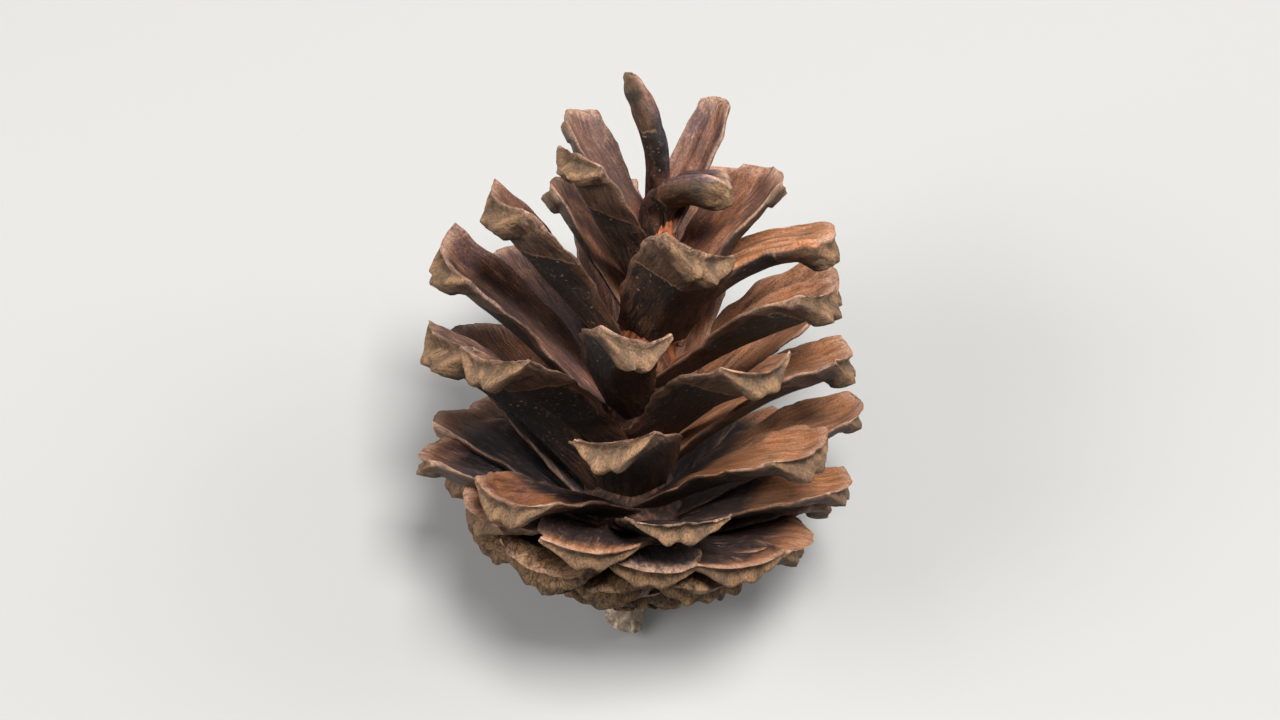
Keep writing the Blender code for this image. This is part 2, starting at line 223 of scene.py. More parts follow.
# Steps from the noises and places to the colour, roughness and relief of the wood
WOOD_STEPS = (
    # Upper side: broad stains, a dull or a warm side of the cone, violet bloom, soaked resin. The dull
    # and warm sides are partly the wood's tone and partly painted light and shade: lighter and more
    # orange where the cone is lit, darker and more violet where it is shaded.
    ("side", "ABSOLUTE", "aside"),
    ("upper", "RAMP", "stains", ((0.34, "upper_dark"), (0.66, "upper_light"), (0.5, "upper_mid"))),
    # Painted shade: the dull side of the cone is darkened, partly its own tone
    ("dull", "EASE", "warm", -0.4, 0.6, 0.9, 0.0),
    ("upper", "MIX", "dull", "upper", "#55403C"),
    # Painted light: the lit side of the cone glows lighter orange, partly resin colour
    ("glow", "EASE", "warm", 0.5, 1.15, 0.0, 0.75),
    ("upper", "MIX", "glow", "upper", "#C48A60"),
    ("cool", "SUBTRACT", 1.0, "warm"),
    ("bloom", "EASE", "streaks", 0.53, 0.38, 0.0, 0.8),
    ("bloom", "MULTIPLY", "bloom", "cool"),
    ("upper", "MIX", "bloom", "upper", "upper_purple"),
    ("resin", "EASE", "streaks", 0.42, 0.7, 0.0, 0.7),
    ("resin", "MULTIPLY", "resin", "warm"),
    ("upper", "MIX", "resin", "upper", "upper_orange"),
    ("scuffed", "EASE", "blotch", 0.5, 0.64, 0.0, 0.4),
    ("outer", "EASE", "from_end", 8.0, 1.0),
    ("scuffed", "MULTIPLY", "scuffed", "outer"),
    ("upper", "MIX", "scuffed", "upper", "#B88A6E"),
    ("scored", "EASE", "streaks", 0.44, 0.36, 0.0, 0.45),
    ("upper", "MIX", "scored", "upper", "#4C3026"),

    # Bowl of the cone: painted shade over its ragged dark floor, an orange band before it, torn fibres
    # at the rachis
    ("below_rim", "SUBTRACT", "from_end", "dusk"),
    ("broad", "MULTIPLY", "stains", 5.0),
    ("ragged", "MULTIPLY", "streaks", 4.0),
    ("ragged", "ADD", "ragged", "broad"),
    ("deep", "ADD", "below_rim", "ragged"),
    ("deep", "EASE", "deep", 4.0, 6.6, 0.0, 0.92),
    # Painted shade of the bowl: dark bluish browns laid over the upper side deep inside
    ("bowl", "RAMP", "crust", ((0.36, "#1B1A1F"), (0.64, "#4C3D3A"), (0.5, "#2A262B"))),
    ("upper", "MIX", "deep", "upper", "bowl"),
    ("band", "EASE", "below_rim", 1.0, -2.0),
    ("banded", "EASE", "dusk", 0.0, 1.5),
    ("band", "MULTIPLY", "band", "banded"),
    ("banded", "EASE", "dusk", 12.0, 6.0, 0.0, 0.5),
    ("band", "MULTIPLY", "band", "banded"),
    ("banded", "EASE", "streaks", 0.36, 0.6, 0.4, 1.0),
    ("band", "MULTIPLY", "band", "banded"),
    ("upper", "MIX", "band", "upper", "upper_orange"),
    ("high", "EASE", "height", 20.0, 30.0),
    ("close", "EASE", "radius", 4.5, 1.5),
    ("torn", "EASE", "fibres", 0.4, 0.6, 0.2, 0.9),
    ("torn", "MULTIPLY", "torn", "high"),
    ("torn", "MULTIPLY", "torn", "close"),
    ("inner", "EASE", "from_end", 7.5, 10.5),
    ("torn", "MULTIPLY", "torn", "inner"),
    ("upper", "MIX", "torn", "upper", "fibre"),
    ("combed", "RAMP", "fibres", ((0.34, "#8E847F"), (0.62, "#FFFFFF"))),
    ("upper", "SHADE", 0.75, "upper", "combed"),
    ("scratched", "EASE", "veins", 0.6, 0.68, 0.0, 0.4),
    ("upper", "MIX", "scratched", "upper", "#BE947A"),
    # Painted highlight: the upper side is painted lighter along its raised margins, broken by veins
    ("margin", "EASE", "side", 0.78, 0.98),
    ("veined", "EASE", "veins", 0.4, 0.6, 0.1, 0.5),
    ("margin", "MULTIPLY", "margin", "veined"),
    ("upper", "MIX", "margin", "upper", "#957058"),

    # Under side: fibres towards the end, the dark patch with its pale edge, brown at the root
    ("under", "RAMP", "fibres", ((0.3, "#251A13"), (0.7, "#5B412D"), (0.5, "under_mid"))),
    ("bent", "MULTIPLY", "side", "side"),
    ("bent", "MULTIPLY", "bent", -0.6),
    ("bent", "ADD", "bent", -1.0),
    ("bent", "MULTIPLY", "bent", "patch_from"),
    ("bent", "ADD", "bent", "from_end"),
    ("wavy", "MULTIPLY", "stains", 2.4),
    ("bent", "ADD", "bent", "wavy"),
    ("inside", "ADD", "stains", "streaks"),
    ("inside", "MULTIPLY", "inside", 0.35),
    ("inside", "ADD", "inside", "side"),
    ("inside", "EASE", "inside", 1.3, 1.2),
    ("patch", "EASE", "bent", 1.0, 1.25),
    ("patch", "MULTIPLY", "patch", "inside"),
    ("dark", "RAMP", "stains", ((0.35, "under_dark"), (0.7, "#1F1813"))),
    ("under", "MIX", "patch", "under", "dark"),
    ("edge", "EASE", "bent", 0.85, 1.05, 0.0, 0.9),
    ("edged", "EASE", "bent", 1.3, 1.1),
    ("edge", "MULTIPLY", "edge", "edged"),
    ("under", "MIX", "edge", "under", "under_line"),
    ("rooty", "EASE", "radius", 9.0, 4.5, 0.0, 0.6),
    ("rooted", "EASE", "fibres", 0.42, 0.6),
    ("rooty", "MULTIPLY", "rooty", "rooted"),
    ("under", "MIX", "rooty", "under", "#5C3A29"),
    ("specks", "EASE", "flecks", 0.63, 0.71, 0.0, 0.6),
    ("specks", "MULTIPLY", "specks", "patch"),
    ("under", "MIX", "specks", "under", "#94795A"),

    # Shield: tan and blotched, a grimy hollow below the rim, a brown lower face that is darkened partly
    # by painted shade under the lip
    ("shield", "RAMP", "blotch", ((0.36, "shield_band"), (0.62, "shield_lip"))),
    ("hollow", "EASE", "through", 0.08, 0.25, 0.0, 0.75),
    ("hollowed", "EASE", "through", 0.66, 0.42),
    ("hollow", "MULTIPLY", "hollow", "hollowed"),
    ("hollowed", "EASE", "side", 0.8, 0.35),
    ("hollow", "MULTIPLY", "hollow", "hollowed"),
    ("hollowed", "EASE", "crust", 0.58, 0.44, 0.3, 1.0),
    ("hollow", "MULTIPLY", "hollow", "hollowed"),
    ("shield", "MIX", "hollow", "shield", "shield_grime"),
    ("weathered", "EASE", "crust", 0.46, 0.36, 0.0, 0.7),
    ("shield", "MIX", "weathered", "shield", "#55442F"),
    ("on_end", "EASE", "from_end", 0.3, 0.04),
    ("ended", "EASE", "through", 0.02, 0.14),
    ("on_end", "MULTIPLY", "on_end", "ended"),
    ("lower", "MULTIPLY", "basal", 9.0),
    ("lower", "ADD", "lower", 0.9),
    ("lowered", "MULTIPLY", "stains", 1.6),
    ("lower", "ADD", "lower", "lowered"),
    ("lower", "SUBTRACT", "lower", "from_end"),
    ("lower", "EASE", "lower", 0.0, 0.7),
    ("lowered", "EASE", "through", 0.45, 0.75),
    ("lower", "MULTIPLY", "lower", "lowered"),
    ("lowered", "EASE", "side", 0.8, 0.55),
    ("lower", "MULTIPLY", "lower", "lowered"),
    # Lower face under the lip: its own dark brown, deepened with painted shade under the lip
    ("face", "RAMP", "crust", ((0.42, "#281D14"), (0.58, "#4A3826"))),
    ("turned", "EASE", "from_end", 0.3, 1.0),
    ("shield", "MIX", "turned", "shield", "face"),
    ("aged", "RAMP", "crust", ((0.36, "#38291C"), (0.62, "#86653F"))),
    ("rusty", "EASE", "stains", 0.5, 0.64, 0.0, 0.6),
    ("aged", "MIX", "rusty", "aged", "#56321F"),
    ("ageing", "MULTIPLY", "basal", 0.95),
    ("shield", "MIX", "ageing", "shield", "aged"),
    ("crack", "SUBTRACT", "blotch", 0.5),
    ("crack", "ABSOLUTE", "crack"),
    ("crack", "EASE", "crack", 0.022, 0.004),
    ("cracked", "EASE", "basal", 0.3, 1.0, 0.12, 0.65),
    ("crack", "MULTIPLY", "crack", "cracked"),
    ("shield", "MIX", "crack", "shield", "#2A1F16"),

    # The three sides together, with a thin pale rim along the end and the margins
    ("flank", "EASE", "side", 0.9, 0.985, 0.0, 0.3),
    ("flank", "ADD", "flank", "through"),
    ("flank", "EASE", "flank", 0.3, 0.6),
    ("surface", "MIX", "flank", "upper", "under"),
    ("crusty", "EASE", "basal", 0.5, 0.85),
    ("crusted", "EASE", "from_end", 6.0, 3.0),
    ("crusty", "MULTIPLY", "crusty", "crusted"),
    ("shielded", "MAXIMUM", "on_end", "lower"),
    ("crusty", "MAXIMUM", "crusty", "shielded"),
    ("surface", "MIX", "crusty", "surface", "shield"),
    ("rim_end", "EASE", "from_end", 1.3, 0.1),
    ("rimmed", "EASE", "through", 0.3, 0.08),
    ("rim_end", "MULTIPLY", "rim_end", "rimmed"),
    ("rim_side", "EASE", "side", 0.93, 1.0, 0.0, 0.5),
    ("rimmed", "EASE", "from_end", 8.0, 3.0),
    ("rim_side", "MULTIPLY", "rim_side", "rimmed"),
    ("rims", "MAXIMUM", "rim_end", "rim_side"),
    ("rimmed", "EASE", "crust", 0.36, 0.56, 0.2, 0.85),
    ("rims", "MULTIPLY", "rims", "rimmed"),
    ("rimmed", "EASE", "basal", 0.2, 0.9, 1.0, 0.25),
    ("rims", "MULTIPLY", "rims", "rimmed"),
    ("surface", "MIX", "rims", "surface", "rim"),
    ("dusty", "RAMP", "grit", ((0.34, "#968B83"), (0.64, "#FFFFFF"))),
    ("surface", "SHADE", 0.8, "surface", "dusty"),

    # Roughness, and relief: fibres on the blade, crust on the shields
    ("rough", "EASE", "shielded", 0.0, 1.0, 0.55, 0.74),
    ("silk", "MULTIPLY", "fibres", 0.08),
    ("rough", "ADD", "rough", "silk"),
    ("raised", "MULTIPLY", "veins", 0.35),
    ("ribs", "MULTIPLY", "fibres", 0.65),
    ("raised", "ADD", "raised", "ribs"),
    ("bladed", "EASE", "crusty", 0.0, 1.0, 1.0, 0.25),
    ("raised", "MULTIPLY", "raised", "bladed"),
    ("crests", "MULTIPLY", "crust", "crusty"),
    ("crests", "MULTIPLY", "crests", 0.75),
    ("raised", "ADD", "raised", "crests"),
    ("furrow", "MULTIPLY", "crack", "crusty"),
    ("raised", "SUBTRACT", "raised", "furrow"),
    ("grains", "MULTIPLY", "grit", 0.22),
    ("raised", "ADD", "raised", "grains"),
)

# Cuts of the block that a scale is laid from: across, along and through. Rows and sides of the
# cylinders for the rachis and the stalk, and the parts of CORE that each takes.
OPEN_CUTS = (26, 40, 8)
CLOSED_CUTS = (24, 20, 10)
RACHIS_CUTS = (96, 48)
STALK_CUTS = (40, 48)
RACHIS_START = 3
STALK_STOP = 5

# Edges sharper than this many degrees stay sharp
SHARP_SCALE = 70.0
SHARP_CORE = 50.0

# Scale numbers over which the scales lose the thick margins of the tip, close, and turn basal
TIP_FADES = (9.0, 18.0)
CLOSING = (27.0, 44.0)
TURNING_BASAL = (36.0, 52.0)

# Chance of each scale: seed of scale 0; most twist in degrees and most sway in millimetres to
# either side; ranges of the narrowing before the shield, roundness of the end, height of the two
# horns, keel and hook of the under side, and strength of the shield's notches, hollow and lip
FIRST_SEED = 40
MOST_TWIST = 7.0
MOST_SWAY = 0.35
SHOULDERS = (0.1, 0.26)
POINTS = (1.3, 2.1)
HORNS = (0.75, 1.3)
KEELS = (0.25, 0.7)
HOOKS = (0.2, 0.9)
NOTCHES = (0.1, 0.26)
HOLLOWS = (0.8, 1.3)
LIPS = (0.7, 1.3)

# Outline of a scale, as shares of its half width: bulge in the middle, raggedness of the margins,
# set back of the corners, and place and breadth of the seed prints
BULGE = 0.06
RAGGED = 0.09
SETBACK = 0.36
PRINT_ASIDE = 0.48
PRINT_BREADTH = 0.26

# In millimetres: waves of the margins, ridge between the seed prints, dip behind the rim, and how
# far the even rows draw back from the end and the extra row below the rim lies from it
WAVES = 0.4
MIDRIB = 0.12
RIM_DIP = 0.22
RIM_ROWS = (0.14, 0.12)

# Where along a scale it has its full width, and where its end starts to swell
WIDE_AT = 0.5
SWELL_FROM = 0.7

# End thickness, in millimetres, at which the shield's relief has the height of its settings
USUAL_END = 2.8

# Unevenness: its periods in millimetres across, along and through the wood; the seeds that keep
# one noise from repeating another; and how far apart the noise of neighbouring seeds lies, and the
# grain of neighbouring scales
RAGGED_PERIODS = (1.0, 3.2, 1.0)
WAVY_PERIODS = (1.0, 4.5, 1.0)
BLADE_PERIODS = (1.3, 6.0, 2.0)
CREASE_PERIODS = (3.4, 3.4, 2.8)
CORE_PERIODS = (0.9, 0.9, 5.0)
WAVY_SEED = 50
BLADE_SEED = 100
SHIELD_SEED = 200
CREASE_SEED = 7
CORE_SEED = 3
SEED_STEP = 17.3
GRAIN_STEP = 11.0

# Rachis and stalk: unevenness and flare at the cut as shares of the radius, and slant of the cut
CORE_ROUGH = 0.11
CUT_FLARE = 0.13
CUT_SLANT = 0.25

# Step from the leaned cone's origin to the frame's, in millimetres
DROP = (-0.392, -14.265, 2.845)

# Camera: the height on the cone that it looks at, its angle over the cone's own level, distance,
# roll, how far its axis passes beside the target, lens, and the nearest that it sees; lengths in
# millimetres, angles in degrees
TARGET_HEIGHT = 24.0
VIEW_ELEVATION = 25.1
VIEW_DISTANCE = 220.1
VIEW_ROLL = 5.8
AXIS_ASIDE = (-0.43, 0.27)
LENS = 69.3
NEAREST_SEEN = 10.0

# Lights: name, place in metres, power in watts and size in metres. They aim at the origin.
LIGHTS = (
    ("key", (0.06, 0.0, 0.47), 4.2, 0.14),
    ("left_fill", (-0.36, -0.1, 0.32), 2.5, 0.24),
    ("right_fill", (0.36, 0.14, 0.3), 1.7, 0.3),
)

# Light from all round, and the side of the floor in metres
STUDIO_TONE = "#DADADA"
STUDIO_STRENGTH = 0.28
FLOOR_SIDE = 4.0


def linear(code):
    """Linear colour of an sRGB hex code."""
    parts = [int(code[at:at + 2], 16) / 255 for at in (1, 3, 5)]
    return tuple(p / 12.92 if p <= 0.04045 else ((p + 0.055) / 1.055) ** 2.4 for p in parts) + (1.0,)


def length(name, words, default):
    """A length property whose default is in millimetres."""
    return FloatProperty(name=name, description=words, default=default * MM, unit="LENGTH",
                         subtype="DISTANCE", precision=4)


def colour(name, words, code):
    """A colour property whose default is an sRGB hex code."""
    return FloatVectorProperty(name=name, description=words, subtype="COLOR", size=4, min=0.0,
                               max=1.0, default=linear(code))


class ConeSizes(bpy.types.PropertyGroup):
    scale_count: IntProperty(name="Scales", description="Scales along the spiral", default=86,
                             min=1, max=86)
    golden_angle: FloatProperty(name="Turn per scale", description="Turn from a scale to the next",
                                default=math.radians(137.508), unit="ROTATION", subtype="ANGLE")
    first_turn: FloatProperty(name="First turn", description="Azimuth of the tip scale",
                              default=math.radians(-8.0), unit="ROTATION", subtype="ANGLE")
    lean: FloatProperty(name="Lean", description="How far the cone leans back",
                        default=math.radians(38.7), unit="ROTATION", subtype="ANGLE")
    blade: length("Blade", "Thickness in the middle of a scale's blade", 1.6)
    margin: length("Margin", "Thickness at a scale's margin", 0.28)
    root_half: length("Root half width", "Half width of a scale at its root", 3.0)
    hollow: length("Shield hollow", "Depth of the hollow below a shield's rim", 0.5)
    lip: length("Shield lip", "How far a shield's lip stands out", 0.7)
    relief: length("Relief", "Height of the unevenness of the wood", 0.12)
    print_depth: length("Seed print", "Depth of the two prints that the seeds left", 0.16)


class ConeColours(bpy.types.PropertyGroup):
    upper_dark: colour("Upper dark", "Dark fibres of the upper side", "#54352A")
    upper_mid: colour("Upper middle", "Upper side of the scales", "#84553F")
    upper_light: colour("Upper light", "Light fibres of the upper side", "#A87256")
    upper_orange: colour("Upper orange", "Resin-rich fibres of the upper side", "#B87446")
    upper_purple: colour("Upper purple", "Grey violet bloom of the upper side", "#54434A")
    under_mid: colour("Under middle", "Under side towards the end", "#442E1F")
    under_dark: colour("Under dark", "Dark patch where the next scale lay", "#0F0B09")
    under_line: colour("Under line", "Pale edge of the dark patch", "#6E5139")
    shield_band: colour("Shield band", "Hollow of the shield", "#594431")
    shield_grime: colour("Shield grime", "Dark weathering of the shield", "#3F3023")
    shield_lip: colour("Shield lip", "Lip of the shield", "#836346")
    rim: colour("Rim", "Thin rim of the scales", "#A98670")
    fibre: colour("Fibre", "Torn fibres of the rachis", "#8A4A28")
    # Painted light: the bark is painted lighter than it is, where the stalk lies in the cone's shadow
    stalk: colour("Stalk", "Bark of the stalk", "#85735F")
    floor: colour("Floor", "Studio floor", "#8E8D8B")


def smooth(value, low, high):
    """Eases from 0 at low to 1 at high."""
    part = np.clip((value - low) / (high - low), 0.0, 1.0)
    return part * part * (3.0 - 2.0 * part)


def growth(number):
    """Row of GROWTH for a scale between two listed ones."""
    for low, high in zip(GROWTH, GROWTH[1:]):
        if number <= high[0]:
            part = (number - low[0]) / (high[0] - low[0])
            return [a + (b - a) * part for a, b in zip(low, high)][1:]
    return list(GROWTH[-1][1:])


class Scale:
    """One scale: its midline from root to end, and the directions along it."""

    def __init__(self, number, sizes):
        habit = HABIT.get(number, {})
        (end_height, end_radius, root_height, root_radius, half_width, end_thickness,
         bend, slant, curl) = growth(number)
        self.azimuth = sizes.first_turn + sizes.golden_angle * number
        self.turn = math.radians(habit.get("turn", 0.0))
        self.roll = math.radians(habit.get("roll", 0.0))
        self.half_width = half_width + habit.get("width", 0.0)
        self.thickness = sizes.blade / MM + habit.get("thick", 0.0)
        self.stout = habit.get("stout", 0.0)
        self.blunt = habit.get("blunt", 0.0)
        self.skew = habit.get("skew", 0.0)
        self.root_half = min(sizes.root_half / MM, 0.8 * self.half_width)
        self.end_thickness = end_thickness + habit.get("thick", 0.0)
        self.curl = curl * habit.get("curl", 1.0)
        self.slant = math.radians(slant)
        root = Vector((root_radius, root_height + habit.get("root", 0.0)))
        end = Vector((end_radius + habit.get("reach", 0.0), end_height + habit.get("lift", 0.0)))
        chord = end - root
        self.length = chord.length
        slope = math.atan2(chord.y, chord.x)
        bend = math.radians(bend + habit.get("bend", 0.0))
        pull = chord.length * habit.get("pull", 0.36)
        leave = Vector((math.cos(slope + bend), math.sin(slope + bend))) * pull
        arrive = Vector((math.cos(slope - bend), math.sin(slope - bend))) * pull
        self.controls = (root, root + leave, end - arrive, end)

    def middle(self, station):
        """Point on the midline."""
        a, b, c, d = self.controls
        rest = 1.0 - station
        flat = (a * rest ** 3 + b * (3 * rest * rest * station)
                + c * (3 * rest * station * station) + d * station ** 3)
        azimuth = self.azimuth + self.turn * station * abs(station)
        return Vector((flat.x * math.sin(azimuth), -flat.x * math.cos(azimuth), flat.y))

    def frame(self, station):
        """Unit vectors along, across and up from the blade."""
        along = (self.middle(station + 0.01) - self.middle(station - 0.01)).normalized()
        azimuth = self.azimuth + self.turn
        across = Vector((math.cos(azimuth), math.sin(azimuth), 0.0))
        across = (across - along * across.dot(along)).normalized()
        up = along.cross(across)
        rolled = across * math.cos(self.roll) + up * math.sin(self.roll)
        return along, rolled, along.cross(rolled)


def deselect():
    """Nothing selected, in object mode."""
    if bpy.context.object and bpy.context.object.mode != "OBJECT":
        bpy.ops.object.mode_set(mode="OBJECT")
    bpy.ops.object.select_all(action="DESELECT")


def cut_block(name, cuts):
    """A unit block cut into even rows along each axis."""
    deselect()
    bpy.ops.mesh.primitive_cube_add(size=1.0)
    block = bpy.context.object
    block.name = name
    bpy.ops.object.mode_set(mode="EDIT")
    bpy.ops.mesh.select_mode(type="EDGE")
    for axis, count in enumerate(cuts):
        bpy.ops.mesh.select_all(action="DESELECT")
        shape = bmesh.from_edit_mesh(block.data)
        for edge in shape.edges:
            edge.select = abs(edge.verts[0].co[axis] - edge.verts[1].co[axis]) > 0.99
        bmesh.update_edit_mesh(block.data)
        bpy.ops.mesh.subdivide(number_cuts=count - 1)
    bpy.ops.object.mode_set(mode="OBJECT")
    return block


def vectors_of(items, name):
    """Points or normals of a mesh as an array."""
    flat = np.empty(len(items) * 3, np.float32)
    items.foreach_get(name, flat)
    return flat.reshape(-1, 3).astype(float)


def put_points(mesh, points):
    """Moves the points of a mesh."""
    mesh.vertices.foreach_set("co", points.astype(np.float32).ravel())
    mesh.update()


def uneven(points, periods, seed, octaves=3):
    """Smooth noise at points, with a period in millimetres along each axis."""
    places = points / np.array(periods) + seed * SEED_STEP
    return np.array([noise.fractal(Vector(p), 0.9, 2.1, octaves) for p in places])


def write_vector(mesh, name, values):
    """Keeps three numbers a point under a name that a material reads."""
    kept = mesh.attributes.new(name, "FLOAT_VECTOR", "POINT")
    kept.data.foreach_set("vector", values.astype(np.float32).ravel())


def settle(points, lean):
    """Takes upright millimetre points to the frame: leaned back, dropped on the floor, metres."""
    turned = points @ np.array(Matrix.Rotation(-lean, 3, "X")).T + np.array(DROP)
    turned[:, 2] = np.maximum(turned[:, 2], 0.0)
    return turned * MM


def row_stations(count, span):
    """Even stations, with the last rows close to the end and a first row just below the rim."""
    even = np.linspace(0.0, 1.0, count)
    stations = 1.0 - (1.0 - even) ** 1.25
    return np.append(stations[:-1] * (1.0 - RIM_ROWS[0] / span), [1.0 - RIM_ROWS[1] / span, 1.0])


def unit(vectors):
    """Vectors at length 1."""
    return vectors / np.linalg.norm(vectors, axis=1)[:, None]


def row_directions(scale, stations, twist):
    """Midline points of a scale's rows, and unit vectors along and across the blade, up from it,
    down through it and out of its end face, which hangs steeper than the blade."""
    middles = np.array([scale.middle(float(s)) for s in stations])
    frames = np.array([scale.frame(float(s)) for s in stations])
    turn = (twist * stations ** 2)[:, None]
    along = frames[:, 0]
    across = frames[:, 1] * np.cos(turn) + frames[:, 2] * np.sin(turn)
    up = frames[:, 2] * np.cos(turn) - frames[:, 1] * np.sin(turn)
    swell = smooth(stations, SWELL_FROM, 1.0)[:, None]
    inward = unit(along * np.array((-1.0, -1.0, 0.0)))
    plumb = np.array((0.0, 0.0, -1.0)) * math.cos(scale.slant) + inward * math.sin(scale.slant)
    plumb = unit(plumb - along * (scale.blunt * np.sum(along * plumb, axis=1))[:, None])
    down = unit(up * (swell - 1.0) + plumb * swell)
    outward = unit(along - plumb * np.sum(along * plumb, axis=1)[:, None])
    return middles, along, across, up, down, outward


def lay_scale(block, cuts, number, sizes):
    """Copies the block and lays its points onto one scale of the spiral."""
    scale = Scale(number, sizes)
    chance = random.Random(FIRST_SEED + number)
    basal = float(smooth(number, *TURNING_BASAL))
    shut = float(smooth(number, *CLOSING))
    mesh = block.data.copy()
    grid = vectors_of(mesh.vertices, "co") + 0.5
    side = grid[:, 0] * 2.0 - 1.0
    span = scale.length
    stations = row_stations(cuts[1], span)
    row = np.rint(grid[:, 1] * cuts[1]).astype(int)
    at = stations[row]
    through = 1.0 - grid[:, 2]
    through = 0.5 - 0.5 * np.cos(np.pi * through)

    twist = math.radians(chance.uniform(-MOST_TWIST, MOST_TWIST))
    middle, along, across, up, down, outward = [
        rows[row] for rows in row_directions(scale, stations, twist)]
    sway = chance.uniform(-MOST_SWAY, MOST_SWAY)

    # Outline from above: widening from the root, uneven margins, shoulders before the shield
    side_size = np.abs(side)
    bare = 1.0 - basal
    half = scale.root_half + (scale.half_width - scale.root_half) * smooth(at, 0.0, WIDE_AT)
    shoulder = chance.uniform(*SHOULDERS) * (1.0 - 0.6 * shut) * (1.0 - scale.stout)
    half *= 1.0 + BULGE * smooth(at, 0.4, 0.7) - (shoulder + BULGE) * smooth(at, 0.78, 0.97)
    edge = np.stack([np.sign(side) * 3.0, at * span, side * 0], 1)
    half *= 1.0 + RAGGED * uneven(edge, RAGGED_PERIODS, number) * smooth(at, 0.1, 0.3)
    point = chance.uniform(*POINTS)
    setback = SETBACK * half * smooth(at, 0.6, 1.0) * (side * side + 0.004) ** (point / 2)

    # Height of the upper side: curled margins, uneven horns, a raised rim, two seed prints
    from_end = (1.0 - at) * span
    horn = np.where(side < 0, chance.uniform(*HORNS), chance.uniform(*HORNS))
    horn *= 1.0 - 0.8 * scale.stout
    horn *= 1.0 + 0.25 * scale.skew * np.sign(side)
    curl = scale.curl * half * smooth(at, 0.1, 0.7) * (1.0 + (horn - 1.0) * smooth(at, 0.7, 1.0))
    wavy = uneven(edge, WAVY_PERIODS, number + WAVY_SEED)
    curl += WAVES * wavy * smooth(at, 0.15, 0.4) * (0.5 + 0.5 * bare)
    top = curl * side_size ** 2.2
    print_here = smooth(at, 0.05, 0.25) * (1.0 - smooth(at, 0.72, 0.9))
    printed = np.exp(-((side_size - PRINT_ASIDE) / PRINT_BREADTH) ** 2)
    top -= sizes.print_depth / MM * 1.4 * printed * print_here
    top += MIDRIB * np.exp(-(side / 0.12) ** 2) * print_here
    top -= RIM_DIP * np.exp(-((from_end - 2.2) / 1.3) ** 2) * (1.0 - side_size ** 3) * (1.0 - shut)
    notch_at = chance.uniform(-0.15, 0.15)
    nick = chance.uniform(-0.3, 0.3) * np.exp(-((side - notch_at) / 0.14) ** 2)
    top += nick * np.exp(-from_end / 0.9) * (1.0 - shut)
    turned = 0.12 + 0.4 * shut + 0.7 * basal
    top -= turned * np.exp(-from_end / (0.3 + 0.5 * shut + 0.3 * basal)) * (1.0 - 0.5 * side_size ** 4)

    # Depth below the upper side: thin margins, a keel, and a lip with its undercut
    lump = scale.end_thickness / USUAL_END
    swell = smooth(-from_end, -8.0, -2.4)
    lobe = smooth(-from_end, -2.4 * lump, -0.7 * lump)
    waist = max(0.62 * scale.end_thickness, scale.thickness)
    thick = scale.thickness + (waist - scale.thickness) * swell + (scale.end_thickness - waist) * lobe
    upper = 1.0 - float(smooth(number, *TIP_FADES))
    margin = sizes.margin / MM + (0.25 + 0.5 * upper) * lobe
    margin += (thick - margin) * scale.stout * smooth(at, 0.0, 0.3)
    margin += (0.5 * thick - margin) * shut * smooth(-from_end, -5.0, -1.0)
    keel = chance.uniform(*KEELS) * (1.0 - lobe) * (1.0 - scale.stout)
    rise = (1.0 - keel) * side_size ** 2.0 + keel * side_size ** 1.15
    rise += (np.clip((side_size - 0.25) / 0.75, 0.0, 1.0) ** 1.3 - rise) * lobe
    depth = top + thick - (thick + curl - margin) * rise
    notch = np.cos(2.0 * math.pi * (side / 0.62 + 0.5 + chance.uniform(-0.12, 0.12)))
    bumps = notch * np.exp(-(side / 0.5) ** 2)
    depth += chance.uniform(*NOTCHES) * lump * bumps * lobe * (1.0 - 0.8 * basal)
    hook = chance.uniform(*HOOKS) * np.exp(-((side - chance.uniform(-0.2, 0.2)) / 0.3) ** 2)
    depth += hook * shut * (1.0 - 0.5 * basal) * smooth(-from_end, -1.6, -0.3)
    depth = np.maximum(depth, margin * 0.8)
    tip = np.clip(1.0 - from_end / 0.9, 0.0, 1.0)
    taper = scale.stout * (1.0 - np.sqrt(1.0 - 0.7 * tip * tip))
    top -= 0.5 * taper * depth
    depth *= 1.0 - taper
    half *= 1.0 - taper

    # End shield: hollow below the rim, then the lip that stands out
    hollow = sizes.hollow / MM * lump * chance.uniform(*HOLLOWS)
    lip = sizes.lip / MM * lump * chance.uniform(*LIPS) * (1.0 - 0.35 * basal)
    out = -hollow * np.sin(np.pi * np.clip(through / 0.7, 0.0, 1.0)) * (1.0 - side ** 4)
    ridge = smooth(through, 0.42, 0.8) * (1.0 - 0.55 * smooth(through, 0.86, 1.0))
    out += lip * ridge * (1.0 - side ** 2) * (1.0 + 0.4 * bumps)
    knob = 0.4 * scale.stout * (1.0 - side ** 2) * (1.0 - (2.0 * through - 1.0) ** 2)
    out = out * (1.0 - scale.stout) + knob
    out *= smooth(at, 1.0 - 1.3 / span, 1.0)
    at_end = at > 0.9999
    corner = at_end & ((through < 0.001) | (through > 0.999))
    out = np.where(corner, out - 0.08, out)
    round_margin = (0.15 + 0.5 * scale.stout) * np.sin(np.pi * through) * side_size ** 6

    # Points laid across, up, down and out from the midline
    placed = middle - down * (0.3 * thick)[:, None]
    placed += across * (side * half + np.sign(side) * round_margin + sway * at * at)[:, None]
    setback -= scale.skew * side * smooth(at, 0.6, 1.0)
    placed += up * top[:, None] - along * setback[:, None]
    placed += down * (through * depth)[:, None] + outward * out[:, None]
    put_points(mesh, placed)

